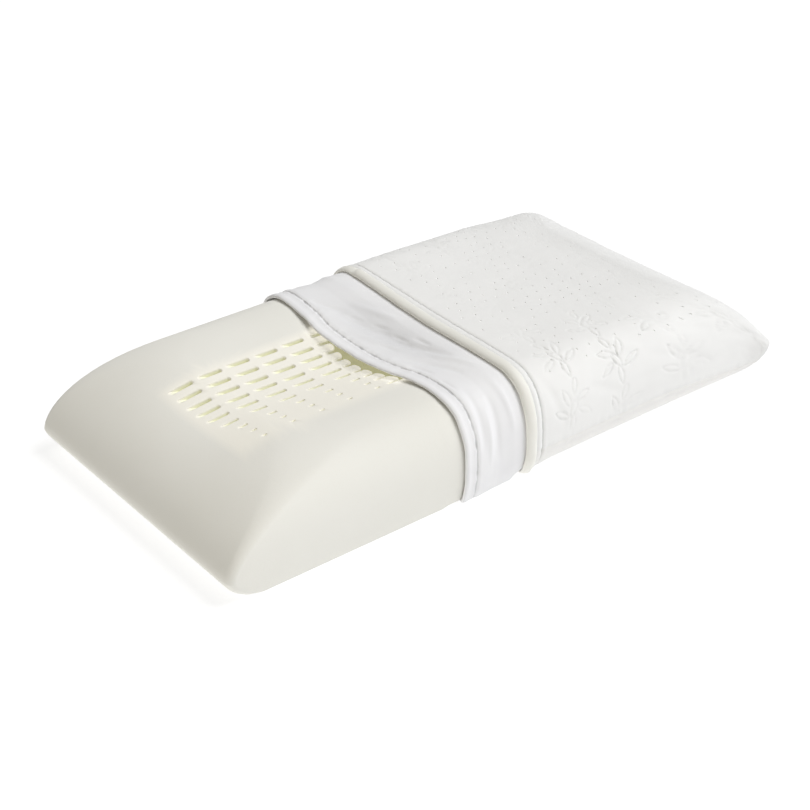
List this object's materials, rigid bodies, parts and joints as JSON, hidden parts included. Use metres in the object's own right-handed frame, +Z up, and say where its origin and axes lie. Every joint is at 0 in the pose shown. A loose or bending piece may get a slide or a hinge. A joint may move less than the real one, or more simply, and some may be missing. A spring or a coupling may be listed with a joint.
{
  "type": "bed pillow",
  "caption": "Foam bed pillow lying flat, both covers drawn back from one end to show the vented core, jersey inner cover and quilted outer cover.",
  "frame": {"origin": "middle of the pillow's outline, on the surface it rests on", "axes": "+Z up, +X along the pillow from the bare foam end to the covered end, -Y the front side"},
  "size_m": [0.8, 0.406, 0.1228],
  "materials": {
    "foam": "matte open-cell foam",
    "jersey": "matte fine knit",
    "quilted_knit": "matte embossed knit",
    "under_knit": "matte plain knit",
    "cream_edge": "smooth satin knit"
  },
  "bodies": {
    "root": {"foam_core": "foam", "inner_cover": "jersey", "outer_cover_top": "quilted_knit", "outer_cover_bottom": "under_knit", "edge_roll": "cream_edge"}
  },
  "joints": []
}
